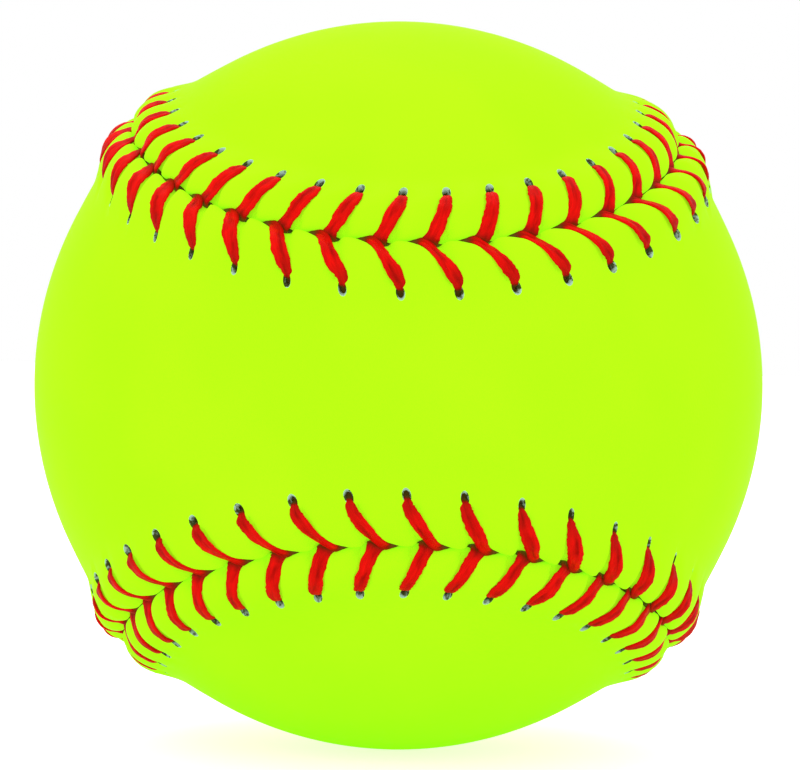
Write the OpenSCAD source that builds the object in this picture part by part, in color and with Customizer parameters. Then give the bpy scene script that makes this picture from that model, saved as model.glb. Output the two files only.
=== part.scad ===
// Softball: a moulded core in a cement coat, two figure-eight cover panels whose edges
// stand up as a raised seam, and one thread sewn with two needles, so two strands.
// The ball's centre is the origin, and the waist of the front panel faces -Y.

/* [Ball] */
// Diameter over the smooth part of the cover
ball_d = 97; // [88:0.5:98]
// Thickness of the cover
cover_t = 1.5; // [1.3:0.1:1.8]
// Thickness of the cement coat on the core
coat_t = 0.3; // [0.1:0.05:0.6]

/* [Seam line] */
// Swell of the lobes of a cover panel against its waist
lobe_share = 0.507; // [0.45:0.001:0.55]
// Depth of the seam's wave to the front and back
wave_share = 1.231; // [1.1:0.001:1.3]
// Stitches on half of the seam
half_stitches = 44; // [40:1:46]
// Place of the first stitch past the middle of the upper seam, in stitches
start_share = 0.09; // [0:0.01:0.5]
// Drift of the stitches between the upper and lower seam, in stitches
drift_share = 0.1; // [0:0.01:0.2]

/* [Raised seam] */
// Height of the crest above the smooth cover
crest_h = 2.3; // [2.1:0.05:2.5]
// Distance of the crest from the middle of the groove
crest_offset = 3.1; // [2.9:0.05:3.3]
// Half the width of the rounded top of the crest
crest_half = 1.05; // [0.9:0.05:1.2]
// Distance at which the raised edge has come down to the smooth cover
ridge_reach = 10.2; // [10:0.1:11]
// Depth of the groove below the crest
groove_depth = 1; // [0.8:0.05:1.1]
// Gap between the edges of the two panels
groove_gap = 1; // [0.9:0.05:1.2]
// Depth to which a stitch draws the edge down
scallop_depth = 0.65; // [0.55:0.05:0.75]

/* [Punched holes] */
// Distance of the holes from the middle of the groove
hole_offset = 6.7; // [6.4:0.1:7]
// Width of a hole along the seam
hole_w = 1.6; // [1.4:0.05:1.8]
// Length of a hole across the seam
hole_l = 1.6; // [1.5:0.05:1.8]
// Depth of the dimple round a hole
dimple_depth = 0.3; // [0.2:0.05:0.4]

/* [Thread] */
// Width of the thread where it lies flat
thread_w = 1.8; // [1.5:0.05:2]
// Thickness of the thread where it lies flat
thread_t = 0.75; // [0.6:0.05:0.8]
// Size of the thread where a hole or the groove squeezes it
thread_tight = 0.6; // [0.4:0.05:0.7]
// Clearance of the thread from what it passes
thread_clear = 0.1; // [0.05:0.01:0.15]

/* [Hidden] */

cover_colour = [0.74, 0.96, 0.12];
thread_colour = [0.85, 0.07, 0.09];
coat_colour = [0.86, 0.74, 0.42];
core_colour = [0.93, 0.9, 0.8];

cover_r = ball_d / 2;
coat_r = cover_r - cover_t;
core_r = coat_r - coat_t;
stitches = 2 * round(half_stitches);

// Steps round the exact spheres and along the seam line
$fn = 128;
seam_steps = 720;

function unit(v) = v / norm(v);
function deg(arc) = arc * 180 / PI;

// The seam line on a ball of radius 1: one turn of a runs once round it.
function seam_raw(a) = [-sin(a) - lobe_share * sin(3 * a),
                        -wave_share * cos(2 * a),
                        cos(a) - lobe_share * cos(3 * a)];
function seam_slope(a) = [-cos(a) - 3 * lobe_share * cos(3 * a),
                          2 * wave_share * sin(2 * a),
                          -sin(a) + 3 * lobe_share * sin(3 * a)];
function seam_dir(a) = unit(seam_raw(a));
function seam_along(a) = let (p = seam_dir(a), v = seam_slope(a)) unit(v - p * (p * v));
function seam_across(a) = cross(seam_dir(a), seam_along(a));

// Length run along the seam line, for every step of the turn
seam_chords = [for (i = [0 : seam_steps - 1])
    norm(seam_dir((i + 1) * 360 / seam_steps) - seam_dir(i * 360 / seam_steps))];
seam_runs = [for (i = 0, run = 0; i <= seam_steps;
                  run = run + (i < seam_steps ? seam_chords[i] : 0), i = i + 1)
    [run, i * 360 / seam_steps]];
seam_run = seam_runs[seam_steps][0];
pitch = seam_run * cover_r / stitches;

// Turn of the seam at stitch number s, which need not be whole
function stitch_turn(s) =
    let (drifted = s + start_share + drift_share * cos(360 * s / stitches),
         laps = floor(drifted / stitches),
         share = drifted / stitches - laps)
    lookup(share * seam_run, seam_runs) + 360 * laps;

// Direction at turn a and distance w from the groove, on the front (1) or back (-1) panel
function side_dir(side, a, w) =
    let (turn = deg(w / cover_r)) cos(turn) * seam_dir(a) + side * sin(turn) * seam_across(a);
// Point at stitch s, distance w from the groove and height h over the smooth cover
function seam_point(side, s, w, h) = (cover_r + h) * side_dir(side, stitch_turn(s), w);

// Height of the raised edge: a half wave outside the crest, a parabola down to the groove.
function ridge_h(w) = w < crest_offset
    ? crest_h - groove_depth * pow(1 - w / crest_offset, 2)
    : crest_h * (1 + cos(180 * min(1, (w - crest_offset) / (ridge_reach - crest_offset)))) / 2;
// Lean of a stitch towards the next one, in stitches, from its hole to the groove
front_lean_share = 0.55;
back_lean_share = 0.45;
function lean(side, w) =
    (side > 0 ? front_lean_share : back_lean_share) * (1 - w / hole_offset);

// Rows of the raised edge, from its buried foot over the crest to the groove and back
// underneath: distance, height in a valley, height on a pillow, place in a valley and on
// a pillow, in stitches.
hole_out = hole_offset + hole_l / 2;
hole_in = hole_offset - hole_l / 2;
hole_half = hole_w / 2 / pitch;
edge_w = groove_gap / 2;
foot_bury = cover_t / 5;
foot_w = ridge_reach - crest_half / 2;
function over_row(side, w) =
    [w, ridge_h(w) - scallop_depth, ridge_h(w), lean(side, w), lean(side, w) + 1 / 2];
function hole_row(w, h) = [w, h, h, -hole_half, hole_half];
function edge_rows(side) = [
    [foot_w, -foot_bury, -foot_bury, -1 / 4, 1 / 4],
    hole_row(hole_out, ridge_h(hole_out) - dimple_depth),
    hole_row(hole_in, ridge_h(hole_in) - dimple_depth),
    over_row(side, crest_offset + crest_half),
    over_row(side, crest_offset - crest_half),
    over_row(side, edge_w),
    [edge_w, ridge_h(edge_w) - cover_t, ridge_h(edge_w) - cover_t,
     lean(side, edge_w), lean(side, edge_w) + 1 / 2],
    hole_row(hole_in, ridge_h(hole_in) - cover_t),
    hole_row(hole_out, ridge_h(hole_out) - cover_t)
];

// A face seen from outside; the back panel is a mirror image, so its faces run the other way.
function facing(side, faces) = side > 0 ? faces : [for (f = faces) [f[2], f[1], f[0]]];
function quad(a, b, c, d) = [[a, b, c], [a, c, d]];

// The raised edge: a closed ring of rows, with a punched hole at every stitch. The holes open
// past the first row on top, and past the last but one underneath.
module raised_edge(side) {
    rows = edge_rows(side);
    low = len(rows) - 2;
    top = low - 6;
    cols = 2 * stitches;
    points = [for (row = rows) for (i = [0 : cols - 1])
        let (pillow = i % 2, s = floor(i / 2) + row[3 + pillow])
        seam_point(side, s, row[0], row[1 + pillow])];
    function at(r, i) = (r % len(rows)) * cols + i % cols;
    function holed(r, i) = i % 2 == 0 && (r == top || r == low);
    skin = [for (r = [0 : len(rows) - 1]) for (i = [0 : cols - 1]) if (!holed(r, i))
        each quad(at(r, i), at(r, i + 1), at(r + 1, i + 1), at(r + 1, i))];
    hole_walls = [for (i = [0 : 2 : cols - 1])
        each [each quad(at(low + 1, i), at(low, i), at(top + 1, i), at(top, i)),
              each quad(at(low, i + 1), at(low + 1, i + 1), at(top, i + 1), at(top + 1, i + 1)),
              each quad(at(low + 1, i + 1), at(low + 1, i), at(top, i), at(top, i + 1)),
              each quad(at(low, i), at(low, i + 1), at(top + 1, i + 1), at(top + 1, i))]];
    polyhedron(points, facing(side, [each skin, each hole_walls]));
}

// The middle line of a panel's lobes lies in a plane: XY for the front panel, YZ for the back.
lobe_angle = 113;
wedge_steps = 88;
wedge_r = ball_d;
function lobe_dir(side, share) = let (turn = lobe_angle * share)
    side > 0 ? [-sin(turn), -cos(turn), 0] : [0, cos(turn), sin(turn)];

// A wedge from the ball's centre out through the smooth part of one panel, to cut it free
module panel_wedge(side) {
    quarter = wedge_steps / 4;
    cut_w = (hole_out + foot_w) / 2;
    // Columns on the two sides of the middle line share its points.
    function fold(i) = let (k = (i + (side > 0 ? 0 : quarter)) % wedge_steps)
        k <= quarter ? k : k <= 3 * quarter ? 2 * quarter - k : k - wedge_steps;
    points = [[0, 0, 0],
        for (i = [0 : wedge_steps - 1]) wedge_r * side_dir(side, 360 * i / wedge_steps, cut_w),
        for (k = [-quarter : quarter]) wedge_r * lobe_dir(side, sin(360 * k / wedge_steps))];
    function rim(i) = 1 + i % wedge_steps;
    function mid(i) = 1 + wedge_steps + quarter + fold(i);
    faces = [for (i = [0 : wedge_steps - 1])
        each [[0, rim(i), rim(i + 1)], each quad(rim(i), mid(i), mid(i + 1), rim(i + 1))]];
    polyhedron(points, facing(side, faces));
}

module cover_panel(side) {
    color(cover_colour) union() {
        intersection() {
            difference() {
                sphere(r = cover_r);
                sphere(r = coat_r);
            }
            panel_wedge(side);
        }
        raised_edge(side);
    }
}

// Where the thread runs, for one stitch from a hole on the given panel over to the groove.
// A stitch from the front panel crosses over the one from the back and dives further on.
valley_h = ridge_h(edge_w) - scallop_depth;
tunnel_h = thread_clear + thread_tight / 2 - cover_t;
dive_h = ridge_h(edge_w) - cover_t - thread_clear - thread_tight * 3 / 4;
crest_thread_h = crest_h - scallop_depth + thread_clear + thread_t / 2 + thread_clear;
front_cross_share = 0.03;
front_dive_share = 0.37;
// Each section: place in stitches, distance, height, width, thickness, tilt of its top
function stitch_sections(side) = [
    [0, hole_offset, tunnel_h, thread_tight, thread_tight, 90],
    [0, hole_offset - thread_tight / 2, ridge_h(hole_in) + thread_t / 4,
     (thread_w + thread_tight) / 2, thread_t, 45],
    [lean(side, crest_offset), crest_offset, crest_thread_h, thread_w, thread_t, 0],
    [lean(side, 0) + (side > 0 ? front_cross_share : 0),
     side > 0 ? thread_clear : edge_w - thread_t / 2,
     valley_h + thread_clear + thread_t / 2 + (side > 0 ? thread_t * 2 / 3 : 0),
     thread_w * 2 / 3, thread_t, 0],
    [lean(side, 0) + (side > 0 ? front_dive_share : 0), 0, dive_h,
     thread_tight, thread_tight, 0]
];

// One strand: it changes panels at every stitch, and its first and last stitch join.
module strand(first_side) {
    path = [for (s = [0 : stitches - 1]) let (side = s % 2 == 0 ? first_side : -first_side)
        for (c = stitch_sections(side))
        let (a = stitch_turn(s + c[0]), up = side_dir(side, a, c[1]),
             out = side * seam_across(a))
        [(cover_r + c[2]) * up, (s % 2 == 0 ? 1 : -1) * (up * cos(c[5]) + out * sin(c[5])),
         c[3] / 2, c[4] / 2]];
    count = len(path);
    points = [for (i = [0 : count - 1])
        let (along = unit(path[(i + 1) % count][0] - path[(i + count - 1) % count][0]),
             side = unit(cross(along, path[i][1])),
             top = cross(side, along),
             mid = path[i][0])
        each [mid + side * path[i][2], mid + top * path[i][3],
              mid - side * path[i][2], mid - top * path[i][3]]];
    function at(i, k) = 4 * (i % count) + k % 4;
    faces = [for (i = [0 : count - 1]) for (k = [0 : 3])
        each quad(at(i, k), at(i, k + 1), at(i + 1, k + 1), at(i + 1, k))];
    color(thread_colour) polyhedron(points, faces);
}

module core() {
    color(core_colour) sphere(r = core_r);
}

module cement_coat() {
    color(coat_colour) difference() {
        sphere(r = coat_r);
        sphere(r = core_r);
    }
}

module cover_panel_front() {
    cover_panel(1);
}

module cover_panel_back() {
    cover_panel(-1);
}

module seam_thread_one() {
    strand(1);
}

module seam_thread_two() {
    strand(-1);
}

core();
cement_coat();
cover_panel_front();
cover_panel_back();
seam_thread_one();
seam_thread_two();
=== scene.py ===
import bpy
import numpy as np
from mathutils import Matrix, Vector


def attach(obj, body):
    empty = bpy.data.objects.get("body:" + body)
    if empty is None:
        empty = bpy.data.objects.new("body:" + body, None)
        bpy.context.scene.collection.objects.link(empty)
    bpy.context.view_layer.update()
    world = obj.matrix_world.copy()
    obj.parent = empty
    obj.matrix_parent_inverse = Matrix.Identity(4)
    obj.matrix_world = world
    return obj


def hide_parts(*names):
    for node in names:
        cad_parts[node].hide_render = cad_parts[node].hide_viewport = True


# A sewn softball. Lengths below are in millimetres until a mesh is made, and directions are
# on a ball of radius 1. "Stitch number" s runs once round the seam in 88 steps, w is the
# distance from the groove over the cover, and h is the height above the smooth cover.

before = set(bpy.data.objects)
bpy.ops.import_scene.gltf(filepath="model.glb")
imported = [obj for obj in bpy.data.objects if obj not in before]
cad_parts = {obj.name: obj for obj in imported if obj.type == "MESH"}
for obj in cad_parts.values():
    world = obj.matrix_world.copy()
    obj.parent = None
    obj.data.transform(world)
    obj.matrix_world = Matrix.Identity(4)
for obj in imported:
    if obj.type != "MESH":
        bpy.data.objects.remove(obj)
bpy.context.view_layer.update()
print("frame loaded")

metre = 0.001

ball = {
    "radius": 48.5,  # over the smooth cover
    "lobeShare": 0.507,  # swell of the lobes of a panel against its waist
    "waveShare": 1.231,  # how far the seam waves to the front and back
    "stitches": 88,
    "startShare": 0.09,  # first stitch, past the middle of the upper seam
    "driftShare": 0.1,  # the stitches of the upper and lower seam are this far out of step
    "placeWander": 0.02,  # random shift of a stitch along the seam, in stitches
    "tableSize": 7201,  # turns at which the length of the seam line is measured
    "seed": 7,
}


def unit(v):
    # A vector over its length.
    return v / np.linalg.norm(v, axis=-1, keepdims=True)


def smooth(low, high, x):
    # 0 up to low, 1 from high on, and 3 t^2 - 2 t^3 between.
    t = np.clip((x - low) / (high - low), 0, 1)
    return t * t * (3 - 2 * t)


def mix(a, b, share):
    # Straight from a to b.
    return a + (b - a) * share


def seamFrame(turn):
    # The seam line is a wave round the ball: (-sin t - lobe sin 3t, -wave cos 2t,
    # cos t - lobe cos 3t), drawn out to the ball. Gives up, along and across at each turn t.
    lobe, wave = ball["lobeShare"], ball["waveShare"]
    s1, c1, s3, c3 = np.sin(turn), np.cos(turn), np.sin(3 * turn), np.cos(3 * turn)
    up = unit(np.stack([-s1 - lobe * s3, -wave * np.cos(2 * turn), c1 - lobe * c3], -1))
    slope = np.stack(
        [-c1 - 3 * lobe * c3, 2 * wave * np.sin(2 * turn), -s1 + 3 * lobe * s3], -1)
    along = unit(slope - up * (up * slope).sum(-1, keepdims=True))
    return up, along, np.cross(up, along)


tableTurn = np.linspace(0, 2 * np.pi, ball["tableSize"])
tableRun = np.linalg.norm(np.diff(seamFrame(tableTurn)[0], axis=0), axis=1)
tableRun = np.concatenate([[0], np.cumsum(tableRun)])
tableRun = tableRun / tableRun[-1]


def stitchTurn(s):
    # Turn of the seam at stitch number s, by length run along the seam line.
    drift = ball["driftShare"] * np.cos(2 * np.pi * s / ball["stitches"])
    share = (s + ball["startShare"] + drift) / ball["stitches"]
    laps = np.floor(share)
    return np.interp(share - laps, tableRun, tableTurn) + 2 * np.pi * laps


def sideDirection(turn, w):
    # Direction at distance w from the groove: w is above 0 on the front panel, below on the back.
    up, _, across = seamFrame(turn)
    angle = (w / ball["radius"])[..., None]
    return np.cos(angle) * up + np.sin(angle) * across


def seamPoint(s, w, h):
    # The direction at stitch number s and distance w, times the radius and height h.
    return (ball["radius"] + h)[..., None] * sideDirection(stitchTurn(s), w)


draws = np.random.default_rng(ball["seed"])
# Random numbers for the stitches of each panel, of these kinds and a few spare ones
holeTurning, stitchPlace, pillowHeight, threadWidth = range(4)
wander = draws.uniform(-1, 1, (2, 8, ball["stitches"]))


def wanderAt(side, kind, s):
    # A stitch's own random number, from -1 to 1, eased from one stitch to the next.
    values = wander[0 if side > 0 else 1, kind]
    low = np.floor(s).astype(int)
    return mix(values[low % len(values)], values[(low + 1) % len(values)],
               smooth(0, 1, s - low))


def makePiece(name, points, faces, flip=False):
    # One mesh from points in millimetres and blocks of quads and triangles. Points that no
    # face uses are dropped.
    used, order = np.unique(np.concatenate([f.ravel() for f in faces]), return_inverse=True)
    sizes = np.concatenate([np.full(len(f), f.shape[1]) for f in faces])
    starts = np.concatenate([[0], np.cumsum(sizes)[:-1]])
    if flip:
        place = np.arange(len(order)) - np.repeat(starts, sizes)
        order = order[np.repeat(starts + sizes - 1, sizes) - place]
    mesh = bpy.data.meshes.new(name)
    mesh.vertices.add(len(used))
    mesh.vertices.foreach_set("co", (points[used] * metre).astype(np.float32).ravel())
    mesh.loops.add(len(order))
    mesh.loops.foreach_set("vertex_index", order.astype(np.int32))
    mesh.polygons.add(len(sizes))
    mesh.polygons.foreach_set("loop_start", starts.astype(np.int32))
    mesh.polygons.foreach_set("use_smooth", np.ones(len(sizes), bool))
    mesh.update(calc_edges=True)
    mesh.validate()
    piece = bpy.data.objects.new(name, mesh)
    bpy.context.scene.collection.objects.link(piece)
    return piece, used


def setAttribute(piece, name, values):
    layer = piece.data.attributes.new(name, "FLOAT", "POINT")
    layer.data.foreach_set("value", values.astype(np.float32))


# The cover panels

cover = {
    "crestHeight": 2.3,
    "crestPlace": 3.0,  # distance of the crest from the groove
    "rollDepth": 1.4,  # drop from the crest to where the two edges touch
    "ridgeReach": 9.6,  # end of the steep ridge,
    "tailHeight": 0.45,  # and height at the crest of the low one that it stands on,
    "tailReach": 14.2,  # and where that ends
    "valleyDepth": {1: 0.42, -1: 0.66},  # how deep a stitch draws the edge down
    "valleyHalf": 0.85,  # half the width of its floor
    "valleyFade": (4.2, 7.4),  # a valley ends between these distances
    "swellPower": 0.75,  # steepness of a valley's sides
    "valleyMouth": (0.90, 2.3),  # widening of a valley behind its stitch, and its reach
    # Rise of a valley's floor towards the next stitch, at distances from the groove
    "tiltPlace": (0, 1.0, 2.5, 3.8, 5.0, 6.6, 8.6),
    "tilt": {1: (0.45, 0.65, 0.58, 0.10, -0.30, -0.30, 0),
             -1: (0.18, 0.15, 0.10, 0, -0.05, 0, 0)},
    "tiltReach": 0.9,  # to each side of a valley's middle line
    "skewHalf": 0.25,  # how far the tilt moves a valley's edges
    "skewPower": 0.4,  # how much the tilt changes the steepness of a valley's sides
    "grooveDip": 0.55,  # how much deeper a stitch draws the edge at the groove
    "grooveDipReach": 3.4,
    "dimpleDepth": 0.22,  # of the hollow round a hole
    "dimpleHalf": (1.3, 1.5),  # along the seam and across it
    "dimpleShift": 0.3,  # from the hole towards the groove
    "dimpleFade": (1.0, 3.0),  # along the seam
    "pillowWander": 0.05,  # random height of the cover between two stitches
    "pillowFade": (6, 9),  # it ends between these distances
    "lean": {1: 0.57, -1: 0.40},  # lead of a stitch at the groove over its hole, in stitches
    "leanPower": 1.1,
    "holePlace": 6.46,  # distance of the middle of a hole from the groove
    "holeHalfAlong": 0.50,
    "holeHalfAcross": 0.84,
    "holeTurn": 0.25,  # radians that a hole turns with its stitch
    "holeTurnWander": 0.12,
    "innerShift": 0.22,  # a hole's mouth is drawn this far towards the groove
    "innerFade": 0.3,  # over this share of half a hole, from its edge inwards
    "palePower": {1: 2.2, -1: 1.0},  # how much of a hole's wall is painted dark as shade, before its lit far end
    # Rings of the grid round a hole, as shares of half a hole
    "holeRings": (0.35, 0.7, 0.85, 1.0, 1.2, 1.55, 2.0),
    "openRings": 2,  # the hole is cut out along this ring
    "roundRings": (1.0, 2.0),  # rings are round up to the first of these, square at the second
    "ringLimit": 2.001,  # the last ring, with a little to spare
    "tornRings": (0.9, 1.2),  # all torn backing up to the first of these, none past the second
    "lipRings": (0.7, 0.85, 1.0, 1.2),  # the skin is drawn down into the hole at these rings
    "lipDrop": (0.95, 0.34, 0.05, 0),  # by this much,
    "lipTilt": 0.3,  # and by this share more towards the groove, and less away from it
    "columns": 24,  # on each stitch
    "fieldColumns": 4,  # on each stitch, in the smooth part
    "fieldRows": 22,  # from the ridge to the middle line of the panel
    "fieldLag": 1,  # columns from the first one to the start of the seam
    "lobeTurn": np.radians(113),  # how far the field's middle line goes round to each side
    # Rows of the grid: by turn of the rolled edge in degrees, then by distance from the groove
    "rollTurns": (0, 8, 16, 25, 34, 44, 54, 65, 77, 90),
    "crestRows": (3.7, 4.35),
    "outerRows": (8.9, 9.5, 10.3, 11.4, 12.7, 14.2),
    "evenReach": (8.4, 14.2),  # columns leave the holes for even places between these
    # Rows of the underside: distance, height and share of the way to even columns. The hole
    # comes out between one row and the next, and between two columns of each stitch.
    "underRows": (
        (0.5, -0.75, 0), (2.2, 0.1, 0), (4.2, 0.2, 0), (5.6, -0.25, 0), (7.45, -0.75, 0),
        (9.0, -1.2, 0.2), (10.5, -1.4, 0.5), (12.3, -1.47, 0.8), (14.2, -1.48, 1)),
    "underHeight": -1.48,  # of the underside past its last row
    "underHoleRow": 3,
    "underHoleColumns": (1, 3),
    "underHoleHalf": 0.75,  # along the seam
    # Half the width of the open groove at each share of a stitch past a hole
    "groovePlace": (0, 0.12, 0.24, 0.36, 0.60, 0.72, 0.82, 0.90, 0.96, 1),
    "grooveHalf": (0.04, 0.06, 0.20, 0.40, 0.48, 0.34, 0.20, 0.10, 0.04, 0.04),
    "grooveFade": 0.9,  # distance over which the opening moves the cover
}


def crownHeight(w):
    # Outside the crest a steep half wave on a long low one; inside it a quarter ellipse that
    # rolls down to the groove.
    c = cover
    steep = (1 + np.cos(np.pi * np.clip(
        (w - c["crestPlace"]) / (c["ridgeReach"] - c["crestPlace"]), 0, 1))) / 2
    tail = 1 - smooth(c["crestPlace"], c["tailReach"], w)
    outside = (c["crestHeight"] - c["tailHeight"]) * steep + c["tailHeight"] * tail
    rolled = np.sqrt(1 - (1 - np.clip(w / c["crestPlace"], 0, 1)) ** 2)
    return outside - c["rollDepth"] * (1 - rolled)


def valleyDepth(side, w):
    # Full depth up to the holes and none past them, and deeper again at the groove.
    return (cover["valleyDepth"][side] * (1 - smooth(*cover["valleyFade"], w))
            + cover["grooveDip"] * (1 - smooth(0, cover["grooveDipReach"], w)))


def dimple(d, w):
    # A bell curve in both directions, d along the seam and w across it.
    halfAlong, halfAcross = cover["dimpleHalf"]
    return cover["dimpleDepth"] * np.exp(
        -(d / halfAlong) ** 2
        - ((w - cover["holePlace"] + cover["dimpleShift"]) / halfAcross) ** 2)


def tiltAt(side, w):
    # Straight between the listed distances.
    return np.interp(w, cover["tiltPlace"], cover["tilt"][side])


def floorHeight(side, w):
    # Height of the bottom of a valley, where the thread lies.
    w = np.asarray(w, float)
    return crownHeight(w) - valleyDepth(side, w) - dimple(0 * w, w)


def leanAt(side, w):
    # Lead of a stitch over its hole: none at the hole, nearly straight up to the groove.
    inner = cover["holePlace"] - cover["holeHalfAcross"]
    return cover["lean"][side] * np.clip(1 - w / inner, 0, 1) ** cover["leanPower"]


def grooveOpening(s):
    # Half the width of the groove, straight between the listed shares of a stitch.
    return np.interp(s % 1, cover["groovePlace"], cover["grooveHalf"])


def stitchScale(side, w):
    # Millimetres on each whole stitch along a line at distance w, for every stitch.
    k = np.arange(ball["stitches"], dtype=float)
    step = 0.05
    ends = [sideDirection(stitchTurn(k + sign * step), side * w + 0 * k) for sign in (-1, 1)]
    return np.linalg.norm(ends[1] - ends[0], axis=1) * ball["radius"] / (2 * step)


def gridFaces(ids):
    # Quads between neighbouring rows of a grid of point numbers, whose rows are closed rings.
    after = np.roll(ids, -1, axis=1)
    return np.stack([ids[:-1], after[:-1], after[1:], ids[1:]], -1).reshape(-1, 4)


def zipFaces(fine, coarse):
    # Triangles between runs of fine points, (n, m + 1), and single steps (n, 2).
    half = fine.shape[1] // 2
    first = [np.stack([fine[:, i], fine[:, i + 1], coarse[:, 0]], -1) for i in range(half)]
    middle = [np.stack([coarse[:, 0], fine[:, half], coarse[:, 1]], -1)]
    last = [np.stack([fine[:, i], fine[:, i + 1], coarse[:, 1]], -1)
            for i in range(half, fine.shape[1] - 1)]
    return np.concatenate(first + middle + last)


def steps(ring, size):
    # A closed ring of point numbers as overlapping runs of size + 1.
    return np.stack([np.roll(ring, -i)[::size] for i in range(size + 1)], -1)


def panelRows():
    # Distances of the grid's rows from the groove: round the rolled edge by its turn, over the
    # crest, through the rings of the holes and out to the field.
    c = cover
    rings = np.array(c["holeRings"])
    holeAxis = np.concatenate([-rings[::-1], [0], rings])
    rows = np.concatenate([
        c["crestPlace"] * (1 - np.cos(np.radians(c["rollTurns"]))), c["crestRows"],
        c["holePlace"] + c["holeHalfAcross"] * holeAxis, c["outerRows"]])
    holeRow = len(c["rollTurns"]) + len(c["crestRows"]) + len(rings)
    return rows, holeAxis, holeRow


def panelGrid(side, rows, holeAxis):
    # Places of the grid's points, as arrays of (row, stitch, column): phase, in stitches past
    # their hole, and distance w. Also their ring round the hole, their place v across it in
    # half holes, and whether they are near it.
    c = cover
    perStitch, reach = c["columns"], len(c["holeRings"])
    middle, gaps = perStitch // 2, perStitch - 2 * reach

    # Columns: close together round the hole, then evenly over the pillow to the next hole.
    scale = stitchScale(side, c["holePlace"])[:, None]
    patch = c["holeRings"][-1] * c["holeHalfAlong"] / scale
    after = (np.arange(perStitch - middle - reach - 1) + 1) / gaps
    before = (np.arange(middle - reach) + perStitch - middle - reach) / gaps
    phase = np.concatenate([
        -1 + patch + (1 - 2 * patch) * before,
        holeAxis * c["holeHalfAlong"] / scale,
        patch + (1 - 2 * patch) * after], axis=1)
    even = (np.arange(perStitch) - middle) / perStitch
    shape = (len(rows), ball["stitches"], perStitch)
    w = np.broadcast_to(rows[:, None, None], shape)
    phase = mix(np.broadcast_to(phase, shape), np.broadcast_to(even, shape),
                smooth(*c["evenReach"], w))

    # Square rings of the grid round each hole become round ones: a ring keeps its half
    # width, and its corners are drawn in, fading out by the last ring.
    inPatch = np.abs(np.arange(perStitch) - middle) <= reach
    u = np.zeros(perStitch)
    u[inPatch] = holeAxis
    u = np.broadcast_to(u, shape)
    v = (w - c["holePlace"]) / c["holeHalfAcross"]
    ring = np.maximum(np.abs(u), np.abs(v))
    near = inPatch & (np.abs(v) <= c["ringLimit"])
    draw = np.where(near, 1 - smooth(*c["roundRings"], ring), 0)
    factor = mix(1, ring / np.maximum(np.hypot(u, v), 1e-9), draw)
    turn = c["holeTurn"] + c["holeTurnWander"] * wander[0 if side > 0 else 1, holeTurning]
    angle = turn[None, :, None] * draw
    slim = c["holeHalfAcross"] / c["holeHalfAlong"]
    turnedU = factor * (u * np.cos(angle) - v * np.sin(angle) * slim)
    turnedV = factor * (v * np.cos(angle) + u * np.sin(angle) / slim)
    inside = np.clip((1 - ring) / c["innerFade"], 0, 1) * near
    phase = np.where(near, turnedU * c["holeHalfAlong"] / scale[None], phase)
    w = np.where(
        near, c["holePlace"] + c["holeHalfAcross"] * turnedV - c["innerShift"] * inside, w)
    return phase, w, ring, v, near


def panelTop(side, rows, phase, w, ring, v, near):
    # Points of the ridge. Their height is the crown, less a valley at each stitch, which swells
    # up to a pillow on both sides as a power of a circle's arc, less the dimple and the lip of
    # each hole.
    c = cover
    lead = leanAt(side, rows)[:, None, None]
    s = np.arange(ball["stitches"])[None, :, None] + phase + lead
    s = s + ball["placeWander"] * wanderAt(side, stitchPlace, s - lead)
    rowScale = np.stack([stitchScale(side, row) for row in rows])[:, :, None]
    millimetres = np.abs(phase) * rowScale
    half = rowScale / 2
    skew = tiltAt(side, w) * np.sign(phase)
    mouth, mouthReach = c["valleyMouth"]
    valleyHalf = (c["valleyHalf"] - c["skewHalf"] * skew
                  + mouth * (phase < 0) * (1 - smooth(0, mouthReach, w)))
    across = np.clip((millimetres - valleyHalf) / (half - valleyHalf), 0, 1)
    swell = (1 - (1 - across) ** 2) ** (c["swellPower"] - c["skewPower"] * skew)
    rise = skew * np.minimum(millimetres, c["tiltReach"])
    h = (crownHeight(w) - (valleyDepth(side, w) - rise) * (1 - swell)
         - dimple(millimetres, w) * (1 - smooth(*c["dimpleFade"], millimetres)))
    h = h + (c["pillowWander"] * wanderAt(side, pillowHeight, s + 0.5) * swell
             * (1 - smooth(*c["pillowFade"], w)))
    lip = np.interp(ring, c["lipRings"], c["lipDrop"])
    h = h - np.where(near, lip * (1 - c["lipTilt"] * np.clip(v, -1, 1)), 0)
    w = w + grooveOpening(s) * np.exp(-w / c["grooveFade"])
    return s, seamPoint(s, side * w, h).reshape(-1, 3)


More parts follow.
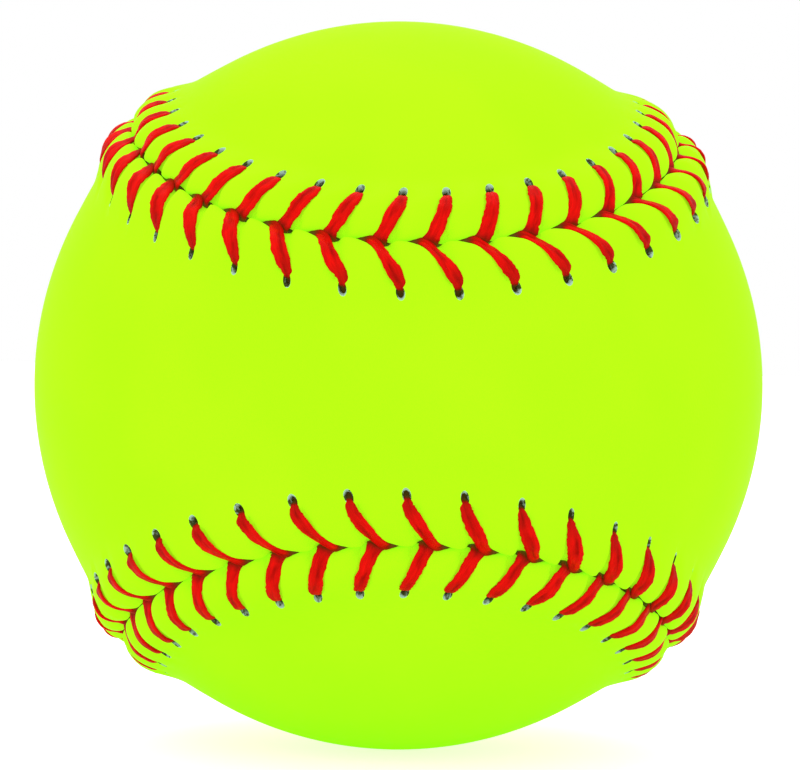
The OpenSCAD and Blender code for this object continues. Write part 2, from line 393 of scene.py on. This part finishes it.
def panelField(side, rimTurn, rimPlace):
    # Directions of the smooth field: from the last row straight over the ball to the panel's
    # middle line, where columns from both sides of it share their points.
    c = cover
    count = len(rimTurn)
    number = (np.arange(count) - c["fieldLag"]) % count
    evenTurn = 2 * np.pi * (np.arange(count) - c["fieldLag"]) / count
    evenTurn = evenTurn + 2 * np.pi * np.round((rimTurn - evenTurn) / (2 * np.pi))
    share = np.linspace(0, 1, c["fieldRows"] + 1)[1:, None]
    turn = mix(rimTurn, evenTurn, smooth(0, 1, share))
    swing = c["lobeTurn"] * (np.sin(turn) if side > 0 else np.cos(turn))
    zero = 0 * swing
    lobe = np.stack([-np.sin(swing), -np.cos(swing), zero] if side > 0
                    else [zero, np.cos(swing), np.sin(swing)], -1)
    rim = sideDirection(turn, side * rimPlace + zero)
    gap = np.arccos(np.clip((rim * lobe).sum(-1, keepdims=True), -1, 1))
    field = (np.sin((1 - share[..., None]) * gap) * rim
             + np.sin(share[..., None] * gap) * lobe) / np.sin(gap)
    mirror = (count // 2 - number) % count if side > 0 else -number % count
    shared = (np.minimum(number, mirror) + c["fieldLag"]) % count
    ids = np.arange(field[..., 0].size).reshape(c["fieldRows"], count)
    ids[-1] = ids[-1][shared]
    return field.reshape(-1, 3), ids


def panelUnder(side):
    # Points of the underside near the seam, in rows at the listed distances and heights. Their
    # columns go over from the edges of the holes to even places.
    c = cover
    coarse = c["fieldColumns"]
    rows = np.array(c["underRows"])[..., None, None]
    scale = stitchScale(side, c["holePlace"])[:, None]
    spread = c["underHoleHalf"] / scale
    phase = np.concatenate([-0.5 + 0 * scale, -spread, 0 * scale, spread], 1)
    even = (np.arange(coarse) - coarse // 2) / coarse
    shape = (len(rows), ball["stitches"], coarse)
    phase = mix(np.broadcast_to(phase, shape), np.broadcast_to(even, shape), rows[:, 2])
    w = rows[:, 0] + 0 * phase
    s = np.arange(ball["stitches"])[None, :, None] + phase
    s = s + ball["placeWander"] * wanderAt(side, stitchPlace, s) + leanAt(side, w)
    return seamPoint(s, side * w, rows[:, 1] + 0 * w).reshape(-1, 3)


def panelFaces(topIds, fieldTop, fieldUnder, underIds, holeRow):
    # The top without the holes, the field, the underside, the groove wall, and the walls of
    # the holes.
    c = cover
    perStitch, coarse, cut = c["columns"], c["fieldColumns"], c["openRings"]
    ratio = perStitch // coarse
    first, last = perStitch // 2 - cut, perStitch // 2 + cut
    low, high = holeRow - cut, holeRow + cut
    cell = np.arange(topIds.shape[1]) % perStitch
    keep = np.ones((len(topIds) - 1, len(cell)), bool)
    keep[low:high, (cell >= first) & (cell < last)] = False
    topFaces = gridFaces(topIds)[keep.reshape(-1)]
    toField = zipFaces(steps(topIds[-1], ratio), steps(fieldTop[0], 1))
    fieldFaces = gridFaces(fieldTop)

    underLow, underHigh = c["underHoleRow"], c["underHoleRow"] + 1
    underFirst, underLast = c["underHoleColumns"]
    underCell = np.arange(underIds.shape[1]) % coarse
    underKeep = np.ones((len(underIds) - 1, len(underCell)), bool)
    underKeep[underLow, (underCell >= underFirst) & (underCell < underLast)] = False
    underFaces = gridFaces(underIds)[underKeep.reshape(-1)][:, ::-1]
    fieldUnderFaces = gridFaces(np.concatenate([underIds[-1:], fieldUnder]))[:, ::-1]
    grooveWall = zipFaces(steps(topIds[0], ratio), steps(underIds[0], 1))[:, ::-1]

    # Each hole's wall joins its edge on the top to a coarser one on the underside.
    start = np.arange(ball["stitches"])[:, None] * perStitch
    underStart = np.arange(ball["stitches"])[:, None] * coarse
    along = start + np.arange(first, last + 1)
    fineSteps = 2 * cut // (underLast - underFirst)  # of the top, on one of the underside
    sides = []
    for row, underRow, turnRound in ((low, underLow, False), (high, underHigh, True)):
        fine = topIds[row][along]
        rough = underIds[underRow][underStart + np.arange(underFirst, underLast + 1)]
        for i in range(underLast - underFirst):
            part = zipFaces(fine[:, fineSteps * i:fineSteps * (i + 1) + 1], rough[:, i:i + 2])
            sides.append(part[:, ::-1] if turnRound else part)
    for column, underColumn, turnRound in (
            (first, underFirst, True), (last, underLast, False)):
        fine = topIds[low:high + 1][:, start[:, 0] + column].T
        rough = underIds[underLow:underHigh + 1][:, underStart[:, 0] + underColumn].T
        part = zipFaces(fine, rough)
        sides.append(part[:, ::-1] if turnRound else part)
    return [topFaces, toField, fieldFaces, underFaces, fieldUnderFaces, grooveWall, *sides]


def buildPanel(side, name):
    c = cover
    rows, holeAxis, holeRow = panelRows()
    phase, w, ring, v, near = panelGrid(side, rows, holeAxis)
    s, top = panelTop(side, rows, phase, w, ring, v, near)
    rimTurn = stitchTurn(s[-1].reshape(-1)[::c["columns"] // c["fieldColumns"]])
    field, fieldIds = panelField(side, rimTurn, rows[-1])
    under = panelUnder(side)
    points = np.concatenate([
        top, field * ball["radius"], field * (ball["radius"] + c["underHeight"]), under])

    topIds = np.arange(len(top)).reshape(len(rows), -1)
    fieldTop = fieldIds + len(top)
    fieldUnder = fieldTop + len(field)
    underIds = np.arange(len(under)).reshape(len(c["underRows"]), -1)
    underIds = underIds + len(top) + 2 * len(field)
    faces = panelFaces(topIds, fieldTop, fieldUnder, underIds, holeRow)
    piece, used = makePiece(name, points, faces, flip=side < 0)

    # Where the torn backing shows, and how far along a hole its wall is: 0 next to the groove, 1
    # at the far end, and halfway where there is no hole. The second sets painted shade and light
    # on the hole's wall.
    torn = np.where(near, 1 - smooth(*c["tornRings"], ring), 0).reshape(-1)
    torn = np.concatenate([torn, np.zeros(len(field)), np.ones(len(field) + len(under))])
    farWall = np.where(near, np.clip((v + 1) / 2, 0, 1) ** c["palePower"][side], 0)
    farWall = np.concatenate([farWall.reshape(-1), np.full(len(points) - len(top), 0.5)])
    farWall[underIds[c["underHoleRow"] + 1]] = 1
    farWall[underIds[c["underHoleRow"]]] = 0
    setAttribute(piece, "torn", torn[used])
    setAttribute(piece, "farWall", farWall[used])
    print(name, "built,", len(used), "points")
    return piece


coverFront = buildPanel(1, "coverPanelFront")
coverBack = buildPanel(-1, "coverPanelBack")


# The threads

thread = {
    "clear": 0.03,  # between the thread and the floor of its valley
    "profilePoints": 18,
    "profilePower": 0.85,  # below 1, the oval is a little squarer
    "furrow": 0.40,  # depth of the furrow between the two plies, as a share of the thickness
    "furrowHalf": 0.24,
    "furrowDrift": 0.16,  # how far the furrow wanders, as a share of half the width
    "furrowTurn": 0.21,  # radians of that wander at each section
    "raggedness": 0.09,  # fine wandering of the edges, as a share of half the width
    "waviness": 0.07,  # slow wandering of the edges
    "smoothings": 12,  # passes that part the slow from the fine
    "widthWander": 0.05,  # of the width where it lies on the cover, from stitch to stitch
    "liesBetween": (0.5, 5.6),  # the distances where it does
    "shadeHeights": (0.6, 1.4),  # painted shade darkens the thread from the second height down to the first, where it sinks into the seam
    "buriedHeights": (0.1, 1.0),  # and painted deep shade turns it brown between these
    "tipShade": (0.6, 2.6),  # past this share of a stitch its end darkens more with painted shade, by this slope in mm
    "holePaintedShade": {1: 0.42, -1: 0.12},  # how much painted shade darkens it towards its hole, where it faces away from the light
    "dimReach": (3.2, 5.2),  # the distances between which it does
    "seeds": (11, 12),
    # Each row: share of a stitch past the hole, distance, height, width, thickness, how much
    # the thread's face looks up, outwards and ahead, and sections to the next row.
    "hole": (
        (0.0, 6.50, -1.12, 0.55, 0.55, -0.7, 0.7, 0, 2),
        (0.0, 6.12, -0.45, 0.75, 0.46, 0, 1, 0, 2),
        (0.0, 5.96, 0.25, 1.00, 0.44, 0.2, 1, 0, 2),
        (0.0, 5.90, 0.75, 1.14, 0.44, 0.6, 1, 0, 3),
        (0.008, 5.64, 1.16, 1.32, 0.46, 1, 0.5, 0, 3),
    ),
    # The part that lies in the valley: distance, width, thickness, sections
    "lying": {
        1: ((5.15, 1.48, 0.52, 3), (4.5, 1.72, 0.54, 3), (3.7, 1.86, 0.56, 3),
            (2.7, 1.88, 0.56, 3), (1.7, 1.82, 0.56, 3)),
        -1: ((5.15, 1.54, 0.52, 3), (4.5, 1.72, 0.56, 3), (3.7, 1.79, 0.58, 3),
             (2.7, 1.79, 0.58, 3), (1.7, 1.82, 0.57, 3)),
    },
    "dive": {
        1: (
            (0.48, 0.85, 1.22, 1.70, 0.56, 1, 0, -0.6, 3),
            (0.565, 0.25, 0.98, 1.52, 0.52, 1, 0, -0.6, 3),
            (0.66, -0.05, 0.72, 1.20, 0.52, 1, 0, -0.4, 3),
            (0.75, -0.08, 0.48, 0.84, 0.54, 1, 0, -0.1, 3),
            (0.83, -0.04, 0.24, 0.50, 0.60, 1, 0, 0, 3),
            (0.895, 0.0, -0.04, 0.30, 0.58, 1, 0, 0.3, 2),
            (0.94, 0.0, -0.42, 0.30, 0.52, 0, -0.7, 0.7, 2),
            (0.96, -0.15, -0.80, 0.50, 0.50, 0, -0.9, 0.4, 1),
            (0.97, -0.90, -1.12, 0.60, 0.50, 1, 0, 0, 2),
            (0.985, -3.50, -1.15, 0.60, 0.50, 1, 0, 0, 2),
        ),
        -1: (
            (0.357, 0.90, 1.08, 1.90, 0.54, 1, 0, 0, 3),
            (0.407, 0.42, 0.84, 2.08, 0.48, 1, 0, 0, 3),
            (0.442, 0.0, 0.50, 2.12, 0.42, 1, -0.2, 0, 3),
            (0.465, -0.26, 0.12, 1.70, 0.42, 0.7, -0.6, 0, 2),
            (0.49, -0.38, -0.32, 1.00, 0.45, 0, -1, 0, 2),
            (0.52, -0.48, -0.78, 0.60, 0.50, 0, -1, 0, 1),
            (0.55, -0.80, -1.10, 0.60, 0.50, 0.5, -1, 0, 1),
            (0.58, -1.20, -1.15, 0.60, 0.50, 1, 0, 0, 2),
            (0.80, -3.80, -1.15, 0.60, 0.50, 1, 0, 0, 2),
        ),
    },
}


def stitchRows(side, s):
    # One stitch from its hole over to the groove and on to the other panel's next hole.
    t = thread
    rows = [list(row) for row in t["hole"]]
    for w, width, thickness, sections in t["lying"][side]:
        height = float(floorHeight(side, w)) + t["clear"] + thickness / 2
        rows.append([float(leanAt(side, w)), w, height, width, thickness,
                     1, 0, -float(tiltAt(side, w)), sections])
    rows += [list(row) for row in t["dive"][side]]
    rows = np.array(rows, float)
    scaleWidth = 1 + t["widthWander"] * wanderAt(side, threadWidth, s)
    nearest, farthest = t["liesBetween"]
    lies = (rows[:, 1] > nearest) & (rows[:, 1] < farthest)
    rows[:, 3] *= np.where(lies, scaleWidth, 1)
    rows[:, 0] += s + ball["placeWander"] * wanderAt(side, stitchPlace, s) * (rows[:, 1] > 0)
    rows[:, 1] *= side
    rows[:, 6] *= side
    return rows


def easeAlong(values, counts):
    # A closed smooth curve through all rows, with counts[i] points from row i to the next:
    # cubic pieces whose slopes weigh the two sides by length.
    after = np.roll(values, -1, axis=0)
    reach = np.linalg.norm((after - values)[:, :3], axis=1)[:, None]
    slope = (after - values) / reach
    reachBefore, slopeBefore = np.roll(reach, 1, axis=0), np.roll(slope, 1, axis=0)
    tangent = (reach * slopeBefore + reachBefore * slope) / (reach + reachBefore)
    piece = np.repeat(np.arange(len(values)), counts)
    place = np.arange(len(piece)) - np.repeat(np.cumsum(counts) - counts, counts)
    x = (place / counts[piece])[:, None]
    r, a, b = reach[piece], values[piece], after[piece]
    m0, m1 = tangent[piece], np.roll(tangent, -1, axis=0)[piece]
    return ((2 * x**3 - 3 * x**2 + 1) * a + (x**3 - 2 * x**2 + x) * r * m0
            + (3 * x**2 - 2 * x**3) * b + (x**3 - x**2) * r * m1)


def buildStrand(firstSide, name, seed):
    # A flat section carried along the smooth curve through all stitches, in turn on one panel
    # and the other.
    t = thread
    random = np.random.default_rng(seed)
    rows = []
    for s in range(ball["stitches"]):
        side = firstSide if s % 2 == 0 else -firstSide
        row = stitchRows(side, s)
        up, along, across = seamFrame(stitchTurn(row[:, 0]))
        face = row[:, 5:6] * up + row[:, 6:7] * across + row[:, 7:8] * along
        face = face * (1 if s % 2 == 0 else -1)
        middle = seamPoint(row[:, 0], row[:, 1], row[:, 2])
        start, slope = t["tipShade"]
        shade = slope * np.maximum(0, row[:, :1] - s - start)
        dim = t["holePaintedShade"][side] * smooth(*t["dimReach"], side * row[:, 1:2])
        rows.append(np.concatenate([middle, face, row[:, 3:5], shade, dim, row[:, 8:9]], 1))
    rows = np.concatenate(rows)
    path = easeAlong(rows[:, :10], rows[:, 10].astype(int))
    middle, face, width, thickness = path[:, :3], path[:, 3:6], path[:, 6:7], path[:, 7:8]
    along = unit(np.roll(middle, -1, axis=0) - np.roll(middle, 1, axis=0))
    across = unit(np.cross(face, along))
    top = np.cross(along, across)

    # The cross-section: a flat oval with a furrow along it, whose two edges wander apart.
    angle = 2 * np.pi * np.arange(t["profilePoints"]) / t["profilePoints"]
    flat, rise = np.cos(angle), np.sin(angle)
    flat = np.sign(flat) * np.abs(flat) ** t["profilePower"]
    rough = random.normal(0, 1, (2, len(path)))
    waves = rough
    for _ in range(t["smoothings"]):
        waves = (np.roll(waves, 1, 1) + 2 * waves + np.roll(waves, -1, 1)) / 4
    waves = t["raggedness"] * (rough - waves) / 2 + t["waviness"] * waves / waves.std()
    edge = 1 + np.where(flat > 0, waves[0][:, None], waves[1][:, None])
    furrowTurn = np.cumsum(np.full(len(path), t["furrowTurn"])) + seed
    drift = t["furrowDrift"] * np.sin(furrowTurn)[:, None]
    furrow = np.exp(-((flat - drift) / t["furrowHalf"]) ** 2)
    points = (middle[:, None] + across[:, None] * (width / 2 * flat * edge)[..., None]
              + top[:, None] * (thickness / 2 * rise * (1 - t["furrow"] * furrow))[..., None])

    # Faces round and along the closed strand, and a map of them: round it, and along in mm.
    number, sections = t["profilePoints"], len(path)
    ids = np.arange(sections * number).reshape(sections, number)
    faces = gridFaces(np.concatenate([ids, ids[:1]]))
    piece, _ = makePiece(name, points.reshape(-1, 3), [faces])
    run = np.linalg.norm(np.roll(middle, -1, axis=0) - middle, axis=1)
    run = np.concatenate([[0], np.cumsum(run)])
    u = np.arange(number + 1) / number
    uv = np.zeros((sections, number, 4, 2))
    uv[..., 0, 0] = uv[..., 3, 0] = u[:-1]
    uv[..., 1, 0] = uv[..., 2, 0] = u[1:]
    uv[..., 0, 1] = uv[..., 1, 1] = run[:-1, None]
    uv[..., 2, 1] = uv[..., 3, 1] = run[1:, None]
    layer = piece.data.uv_layers.new(name="strandMap")
    layer.data.foreach_set("uv", uv.astype(np.float32).ravel())
    # Painted shade: the thread is darkened where it lies low, at its tips and towards its holes,
    # and browned where it is buried.
    height = (np.linalg.norm(points, axis=2) - ball["radius"] - path[:, 8:9]).reshape(-1)
    sunkShade = 1 - smooth(*t["shadeHeights"], height)
    setAttribute(piece, "sunkShade", np.maximum(sunkShade, np.repeat(path[:, 9], number)))
    setAttribute(piece, "buried", 1 - smooth(*t["buriedHeights"], height))
    setAttribute(piece, "furrow", furrow.reshape(-1))
    print(name, "built,", sections, "sections,", round(run[-1]), "mm")
    return piece


strandOne = buildStrand(1, "seamThreadOne", thread["seeds"][0])
strandTwo = buildStrand(-1, "seamThreadTwo", thread["seeds"][1])


# Materials

class Shade:
    # One output socket of a material. Sums, differences and products add Math nodes.
    def __init__(self, tree, socket=None):
        self.tree = tree
        self.socket = socket

    def add(self, kind, settings=None, values=None, output=0):
        node = self.tree.nodes.new(kind)
        for name, value in (settings or {}).items():
            setattr(node, name, value)
        for name, value in (values or {}).items():
            if isinstance(value, Shade):
                self.tree.links.new(value.socket, node.inputs[name])
            else:
                node.inputs[name].default_value = value
        return Shade(self.tree, node.outputs[output] if node.outputs else None)

    def maths(self, operation, a, b=0.0):
        return self.add("ShaderNodeMath", {"operation": operation}, {0: a, 1: b})

    def __add__(self, other):
        return self.maths("ADD", self, other)

    def __sub__(self, other):
        return self.maths("SUBTRACT", self, other)

    def __rsub__(self, other):
        return self.maths("SUBTRACT", other, self)

    def __mul__(self, other):
        return self.maths("MULTIPLY", self, other)

    __radd__ = __add__
    __rmul__ = __mul__

    def between(self, low, high):
        # 0 below low, 1 above high, eased between.
        return self.add("ShaderNodeMapRange", {"interpolation_type": "SMOOTHSTEP"},
                        {"Value": self, "From Min": low, "From Max": high})

    def colours(self, a, b):
        # Colour a where this is 0 and b where it is 1.
        return self.add("ShaderNodeMix", {"data_type": "RGBA"},
                        {0: self, 6: a, 7: b}, output=2)

    def attribute(self, name):
        return self.add("ShaderNodeAttribute", {"attribute_name": name}, output="Fac")

    def objectPlace(self):
        return self.add("ShaderNodeTexCoord", output="Object")

    def stretched(self, place, scale):
        return self.add("ShaderNodeMapping", None, {"Vector": place, "Scale": scale})

    def noise(self, place, scale, detail, roughness=0.5):
        return self.add("ShaderNodeTexNoise", None, {
            "Vector": place, "Scale": scale, "Detail": detail, "Roughness": roughness})

    def bump(self, height, strength, distance):
        return self.add("ShaderNodeBump", None, {
            "Strength": strength, "Distance": distance, "Height": height})


def newMaterial(name):
    material = bpy.data.materials.new(name)
    material.use_nodes = True
    material.node_tree.nodes.clear()
    return material, Shade(material.node_tree)


def finishMaterial(start, values):
    # A Principled surface from plain values and Shade links.
    surface = start.add("ShaderNodeBsdfPrincipled", None, values)
    start.add("ShaderNodeOutputMaterial", None, {"Surface": surface})


def rgba(r, g, b):
    return (r, g, b, 1.0)


coverFinish = {
    "neon": rgba(0.310, 0.600, 0.002),
    "neonWarm": rgba(0.335, 0.610, 0.003),
    "paintedGlow": rgba(0.37, 1.0, 0.010),  # painted light: an even glow of its own that lifts the cover's shade and flattens its shading
    "paintedGlowStrength": 0.54,
    "cloudScale": 45,  # of the slow change from neon to neonWarm
    "cloudDetail": 2,
    "cloudRange": (0.35, 0.65),
    "grainScale": 2600,
    "grainSmoothness": 0.6,
    "fineScale": 9000,
    "fineDetail": 4,
    "fineBump": 0.3,  # of the fine grain against the coarse
    "bump": (0.35, 0.00004),  # strength and depth in metres
    "roughness": 0.40,
    "cloudRoughness": 0.05,
    "tornRoughness": 0.5,
    "specular": 0.004,
    "tornRagged": 0.5,  # how much the fine grain frays the skin's edge
    "tornRange": (0.42, 0.62),
    # The backing is pale fibre. In the holes it is painted dark as shade next to the thread,
    # paler where the far wall is lit, and given a dim painted glow.
    "backingPale": rgba(0.44, 0.66, 0.56),
    "backingPaintedShade": rgba(0.045, 0.058, 0.012),
    "backingPaintedGlow": rgba(0.04, 0.045, 0.010),
    "farWallPaintedLight": 0.8,  # how much paler the backing is painted at a hole's far end, where its wall is lit
    "backingRange": (0.15, 0.85),
    "fibreScale": 1700,
    "fibreDetail": 3,
    "fibreRoughness": 0.6,
    "fibreContrast": 4.0,
}


def coverMaterial():
    f = coverFinish
    material, start = newMaterial("neonCover")
    place = start.objectPlace()
    cloud = start.noise(place, f["cloudScale"], f["cloudDetail"]).between(*f["cloudRange"])
    grain = start.add("ShaderNodeTexVoronoi", {"feature": "SMOOTH_F1"}, {
        "Vector": place, "Scale": f["grainScale"], "Smoothness": f["grainSmoothness"]})
    fine = start.noise(place, f["fineScale"], f["fineDetail"])
    torn = start.attribute("torn")
    torn = (torn + (fine - 0.5) * f["tornRagged"]).between(*f["tornRange"])
    neon = cloud.colours(f["neon"], f["neonWarm"])
    farWall = start.attribute("farWall")
    fibre = start.noise(place, f["fibreScale"], f["fibreDetail"], f["fibreRoughness"])
    # painted light and shade on the hole's wall, set by the far end's place and frayed by the
    # fibre grain
    pale = farWall * f["farWallPaintedLight"] + (fibre - 0.5) * f["fibreContrast"]
    backing = pale.between(*f["backingRange"]).colours(f["backingPaintedShade"], f["backingPale"])
    finishMaterial(start, {
        "Base Color": torn.colours(neon, backing),
        "Roughness": f["roughness"] + cloud * f["cloudRoughness"] + torn * f["tornRoughness"],
        "Specular IOR Level": f["specular"],
        # painted light: the cover glows evenly, and the torn backing in the holes glows dimly
        "Emission Color": torn.colours(f["paintedGlow"], f["backingPaintedGlow"]),
        "Emission Strength": f["paintedGlowStrength"],
        "Normal": start.bump(grain + fine * f["fineBump"], *f["bump"])})
    return material


threadFinish = {
    "bright": rgba(0.96, 0.005, 0.002),
    "deep": rgba(0.40, 0.002, 0.0),
    # painted shade, for where the thread sinks or turns from the light
    "shaded": rgba(0.20, 0.008, 0.002),
    # painted deep shade, brown, where the thread is buried in the seam and its holes
    "buried": rgba(0.10, 0.050, 0.006),
    "buriedPaintedGlow": rgba(0.035, 0.026, 0.003),  # painted light: a dim glow that lifts the buried thread's painted shade
    # Scales of a pattern: round the thread, and on each millimetre along it
    "fibreScale": (26, 0.55, 1),
    "fibreDetail": 4,
    "fibreRoughness": 0.6,
    "fibreRange": (0.35, 0.65),
    "streakScale": (5, 0.35, 1),
    "streakDetail": 2,
    "streakRange": (0.38, 0.62),
    # Shares of the bright colour: plain, at a fibre, in a streak, and lost in the furrow to
    # painted shade, which a streak fills
    "plainShare": 0.48,
    "fibreShare": 0.28,
    "streakShare": 0.28,
    "furrowShadeShare": 0.65,
    "furrowFill": 0.6,
    "sunkShare": 0.85,
    "buriedShare": 0.95,
    "roughness": 0.52,
    "fibreGloss": 0.15,
    "specular": 0.04,
    "bump": (0.6, 0.00006),
}


def threadMaterial():
    f = threadFinish
    material, start = newMaterial("waxedThread")
    place = start.add("ShaderNodeUVMap", {"uv_map": "strandMap"})
    fibres = start.noise(start.stretched(place, f["fibreScale"]), 1.0, f["fibreDetail"],
                         f["fibreRoughness"])
    streak = start.noise(start.stretched(place, f["streakScale"]), 1.0, f["streakDetail"])
    streak = streak.between(*f["streakRange"])
    furrow, sunkShade, buried = [start.attribute(name) for name in ("furrow", "sunkShade", "buried")]
    # the furrow between the plies is darkened as painted shade
    share = (f["plainShare"] + fibres.between(*f["fibreRange"]) * f["fibreShare"]
             + streak * f["streakShare"]
             - furrow * (1 - streak * f["furrowFill"]) * f["furrowShadeShare"])
    colour = share.colours(f["deep"], f["bright"])
    # painted shade where the thread lies low, at its tips and towards its holes
    colour = (sunkShade * f["sunkShare"]).colours(colour, f["shaded"])
    # painted deep shade where the thread is buried
    colour = (buried * f["buriedShare"]).colours(colour, f["buried"])
    finishMaterial(start, {
        "Base Color": colour,
        "Roughness": f["roughness"] - fibres * f["fibreGloss"],
        "Specular IOR Level": f["specular"],
        # painted light: a dim glow on the buried thread
        "Emission Color": buried.colours(rgba(0, 0, 0), f["buriedPaintedGlow"]),
        "Emission Strength": 1.0,
        "Normal": start.bump(fibres, *f["bump"])})
    return material


foamFinish = {
    "yellow": rgba(0.86, 0.80, 0.60),
    "cream": rgba(0.93, 0.90, 0.78),
    "cloudScale": 80,
    "cloudDetail": 3,
    "cloudRange": (0.3, 0.7),
    "cellScale": 1400.0,
    "roughness": 0.75,
    "cloudRoughness": 0.1,
    "bump": (0.5, 0.0001),
}


def foamMaterial():
    # Moulded foam: fine closed cells, cream, a little yellower in places.
    f = foamFinish
    material, start = newMaterial("mouldedFoam")
    place = start.objectPlace()
    cells = start.add("ShaderNodeTexVoronoi", {"feature": "F1"}, {
        "Vector": place, "Scale": f["cellScale"]})
    cloud = start.noise(place, f["cloudScale"], f["cloudDetail"]).between(*f["cloudRange"])
    finishMaterial(start, {
        "Base Color": cloud.colours(f["yellow"], f["cream"]),
        "Roughness": f["roughness"] + cloud * f["cloudRoughness"],
        "Normal": start.bump(cells, *f["bump"])})
    return material


cementFinish = {
    "amber": rgba(0.62, 0.45, 0.16),
    "honey": rgba(0.82, 0.66, 0.32),
    "streakScale": (60, 60, 400),
    "streakDetail": 4,
    "streakRange": (0.3, 0.7),
    "roughness": 0.35,
    "streakRoughness": 0.15,
    "bump": (0.4, 0.0001),
}


def cementMaterial():
    # Dried latex: amber, with brushed streaks and a satin skin.
    f = cementFinish
    material, start = newMaterial("driedLatex")
    place = start.stretched(start.objectPlace(), f["streakScale"])
    streak = start.noise(place, 1.0, f["streakDetail"]).between(*f["streakRange"])
    finishMaterial(start, {
        "Base Color": streak.colours(f["amber"], f["honey"]),
        "Roughness": f["roughness"] + streak * f["streakRoughness"],
        "Normal": start.bump(streak, *f["bump"])})
    return material


neonCover, waxedThread = coverMaterial(), threadMaterial()
for piece, material, slotName, node in (
        (coverFront, neonCover, "cover", "cover_panel_front"),
        (coverBack, neonCover, "cover", "cover_panel_back"),
        (strandOne, waxedThread, "thread", "seam_thread_one"),
        (strandTwo, waxedThread, "thread", "seam_thread_two")):
    piece.data.materials.append(material)
    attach(piece, "root")
    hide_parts(node)
for node, material in (("core", foamMaterial()), ("cement_coat", cementMaterial())):
    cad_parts[node].data.materials.clear()
    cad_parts[node].data.materials.append(material)
print("materials made")


# The studio: a white floor and surroundings, and soft light from all sides

studio = {
    "distance": 9.28,  # of the camera from the ball's centre, in radii of the ball
    "turn": (0.0219, 0.0279, -0.0182),  # of the ball in the camera's view, in radians
    "lens": 151.2,
    "sensor": 36,
    "shift": (0.0019, 0.0006),
    "clip": (0.01, 50),
    "worldStrength": 0.92,
    "floorSize": 6.0,
    "floorColour": rgba(0.92, 0.92, 0.92),
    "floorRoughness": 0.9,
    "floorGlow": 0.6,
    # Each lamp's place and size, in metres, and its power in watts
    "lamps": {
        "keyLamp": ((-0.35, -0.75, 0.75), 0.6, 1.2),
        "topLamp": ((0.0, 0.35, 0.9), 0.7, 2.0),
    },
}


def placeCamera():
    # The camera looks along +Y at the ball's centre, from a place turned a little round it
    # to match the seam.
    turn = Vector(studio["turn"])
    upright = Matrix(((1, 0, 0), (0, 0, 1), (0, -1, 0)))
    toView = Matrix.Rotation(turn.length, 3, turn.normalized()) @ upright
    fromView = toView.transposed()
    data = bpy.data.cameras.new("photoCamera")
    data.lens = studio["lens"]
    data.sensor_width = studio["sensor"]
    data.shift_x, data.shift_y = studio["shift"]
    data.clip_start, data.clip_end = studio["clip"]
    camera = bpy.data.objects.new("photoCamera", data)
    back = fromView @ Vector((0, 0, studio["distance"] * ball["radius"] * metre))
    camera.matrix_world = Matrix.Translation(back) @ fromView.to_4x4()
    bpy.context.scene.collection.objects.link(camera)
    bpy.context.scene.camera = camera


def makeWorld():
    world = bpy.data.worlds.new("whiteRoom")
    world.use_nodes = True
    world.node_tree.nodes.clear()
    start = Shade(world.node_tree)
    path = start.add("ShaderNodeLightPath", output="Is Camera Ray")
    strength = path * (1 - studio["worldStrength"]) + studio["worldStrength"]
    light = start.add("ShaderNodeBackground", None, {
        "Color": rgba(1, 1, 1), "Strength": strength})
    start.add("ShaderNodeOutputWorld", None, {"Surface": light})
    bpy.context.scene.world = world


def makeFloor():
    half = studio["floorSize"] / 2
    low = -ball["radius"] * metre
    mesh = bpy.data.meshes.new("studioFloor")
    mesh.from_pydata([(-half, -half, low), (half, -half, low), (half, half, low),
                      (-half, half, low)], [], [(0, 1, 2, 3)])
    floor = bpy.data.objects.new("studioFloor", mesh)
    bpy.context.scene.collection.objects.link(floor)
    material, start = newMaterial("whiteFloor")
    path = start.add("ShaderNodeLightPath", output="Is Camera Ray")
    finishMaterial(start, {
        "Base Color": studio["floorColour"],
        "Roughness": studio["floorRoughness"],
        "Specular IOR Level": 0.0,
        "Emission Color": path.colours(rgba(0, 0, 0), rgba(1, 1, 1)),
        "Emission Strength": studio["floorGlow"]})
    mesh.materials.append(material)


def addLamp(name, place, size, power):
    data = bpy.data.lights.new(name, "AREA")
    data.shape, data.size, data.energy = "DISK", size, power
    lamp = bpy.data.objects.new(name, data)
    lamp.location = place
    lamp.rotation_euler = (-Vector(place)).to_track_quat("-Z", "Y").to_euler()
    bpy.context.scene.collection.objects.link(lamp)


placeCamera()
makeWorld()
makeFloor()
for lampName, lampValues in studio["lamps"].items():
    addLamp(lampName, *lampValues)
bpy.context.scene.view_settings.view_transform = "Standard"

print("scene finished")
